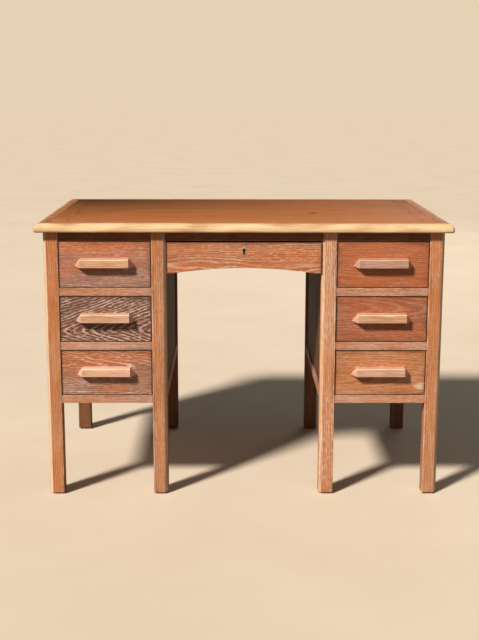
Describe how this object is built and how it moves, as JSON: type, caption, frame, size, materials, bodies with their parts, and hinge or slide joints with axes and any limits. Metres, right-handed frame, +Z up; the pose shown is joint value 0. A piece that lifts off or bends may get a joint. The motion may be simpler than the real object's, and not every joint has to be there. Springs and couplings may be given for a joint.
{
  "type": "teacher desk",
  "caption": "Oak pedestal desk for a classroom: moulded top on square legs, inset drawers with wooden bar pulls, and an arched lockable drawer over the kneehole.",
  "frame": {"origin": "on the floor, under the middle of the desk top", "axes": "+Z up, +X to the right of a person facing the front, +Y from the front (drawer side) to the back"},
  "size_m": [1.128, 0.71, 0.762],
  "materials": {
    "oak_top": "waxed oak, limed grain, worn towards the front edge",
    "oak_lipping": "solid oak edging, moulded nose, rubbed pale",
    "oak_legs": "square oak legs, worn pale on the chamfered corners",
    "oak_rails": "oak rails, matt old wax",
    "oak_ply_panels": "oak-faced plywood, dull varnish",
    "beech_running_gear": "plain beech, unpolished",
    "steel_fittings": "dull steel",
    "oak_drawer_fronts": "figured oak with limed grain, satin",
    "oak_pulls": "handled oak, darker in the corners",
    "drawer_side_timber": "plain sawn hardwood",
    "ply_drawer_bottoms": "thin plywood",
    "lock_steel": "dull pressed steel",
    "brass_escutcheon": "aged brass"
  },
  "bodies": {
    "carcass": {"top_panel": "oak_top", "top_end_clamps": "oak_top", "lipping_front": "oak_lipping", "lipping_back": "oak_lipping", "lipping_ends": "oak_lipping", "legs_front_outer": "oak_legs", "legs_front_inner": "oak_legs", "legs_back_outer": "oak_legs", "legs_back_inner": "oak_legs", "front_top_rails": "oak_rails", "drawer_rails": "oak_rails", "side_rails": "oak_rails", "back_rails": "oak_rails", "kneehole_back_rail": "oak_rails", "side_panels_outer": "oak_ply_panels", "side_panels_kneehole": "oak_ply_panels", "back_panels": "oak_ply_panels", "drawer_runners": "beech_running_gear", "drawer_guides": "beech_running_gear", "drawer_stops": "beech_running_gear", "top_buttons": "beech_running_gear", "foot_glides": "steel_fittings", "button_screws": "steel_fittings"},
    "drawer_left_top": {"drawer_left_top_front": "oak_drawer_fronts", "drawer_left_top_sides": "drawer_side_timber", "drawer_left_top_back": "drawer_side_timber", "drawer_left_top_bottom": "ply_drawer_bottoms", "drawer_left_top_pull": "oak_pulls"},
    "drawer_left_middle": {"drawer_left_middle_front": "oak_drawer_fronts", "drawer_left_middle_sides": "drawer_side_timber", "drawer_left_middle_back": "drawer_side_timber", "drawer_left_middle_bottom": "ply_drawer_bottoms", "drawer_left_middle_pull": "oak_pulls"},
    "drawer_left_bottom": {"drawer_left_bottom_front": "oak_drawer_fronts", "drawer_left_bottom_sides": "drawer_side_timber", "drawer_left_bottom_back": "drawer_side_timber", "drawer_left_bottom_bottom": "ply_drawer_bottoms", "drawer_left_bottom_pull": "oak_pulls"},
    "drawer_right_top": {"drawer_right_top_front": "oak_drawer_fronts", "drawer_right_top_sides": "drawer_side_timber", "drawer_right_top_back": "drawer_side_timber", "drawer_right_top_bottom": "ply_drawer_bottoms", "drawer_right_top_pull": "oak_pulls"},
    "drawer_right_middle": {"drawer_right_middle_front": "oak_drawer_fronts", "drawer_right_middle_sides": "drawer_side_timber", "drawer_right_middle_back": "drawer_side_timber", "drawer_right_middle_bottom": "ply_drawer_bottoms", "drawer_right_middle_pull": "oak_pulls"},
    "drawer_right_bottom": {"drawer_right_bottom_front": "oak_drawer_fronts", "drawer_right_bottom_sides": "drawer_side_timber", "drawer_right_bottom_back": "drawer_side_timber", "drawer_right_bottom_bottom": "ply_drawer_bottoms", "drawer_right_bottom_pull": "oak_pulls"},
    "drawer_centre": {"drawer_centre_front": "oak_drawer_fronts", "drawer_centre_sides": "drawer_side_timber", "drawer_centre_back": "drawer_side_timber", "drawer_centre_bottom": "ply_drawer_bottoms", "lock_case": "lock_steel", "lock_escutcheon": "brass_escutcheon"},
    "lock_bolt": {"lock_bolt": "lock_steel"}
  },
  "joints": [
    {"name": "drawer_left_top_slide", "type": "slide", "parent": "carcass", "child": "drawer_left_top", "axis": [0, -1, 0], "range_m": [0, 0.4]},
    {"name": "drawer_left_middle_slide", "type": "slide", "parent": "carcass", "child": "drawer_left_middle", "axis": [0, -1, 0], "range_m": [0, 0.4]},
    {"name": "drawer_left_bottom_slide", "type": "slide", "parent": "carcass", "child": "drawer_left_bottom", "axis": [0, -1, 0], "range_m": [0, 0.4]},
    {"name": "drawer_right_top_slide", "type": "slide", "parent": "carcass", "child": "drawer_right_top", "axis": [0, -1, 0], "range_m": [0, 0.4]},
    {"name": "drawer_right_middle_slide", "type": "slide", "parent": "carcass", "child": "drawer_right_middle", "axis": [0, -1, 0], "range_m": [0, 0.4]},
    {"name": "drawer_right_bottom_slide", "type": "slide", "parent": "carcass", "child": "drawer_right_bottom", "axis": [0, -1, 0], "range_m": [0, 0.4]},
    {"name": "drawer_centre_slide", "type": "slide", "parent": "carcass", "child": "drawer_centre", "axis": [0, -1, 0], "range_m": [0, 0.36]},
    {"name": "lock_bolt_throw", "type": "slide", "parent": "drawer_centre", "child": "lock_bolt", "axis": [0, 0, 1], "range_m": [0, 0.009]}
  ]
}
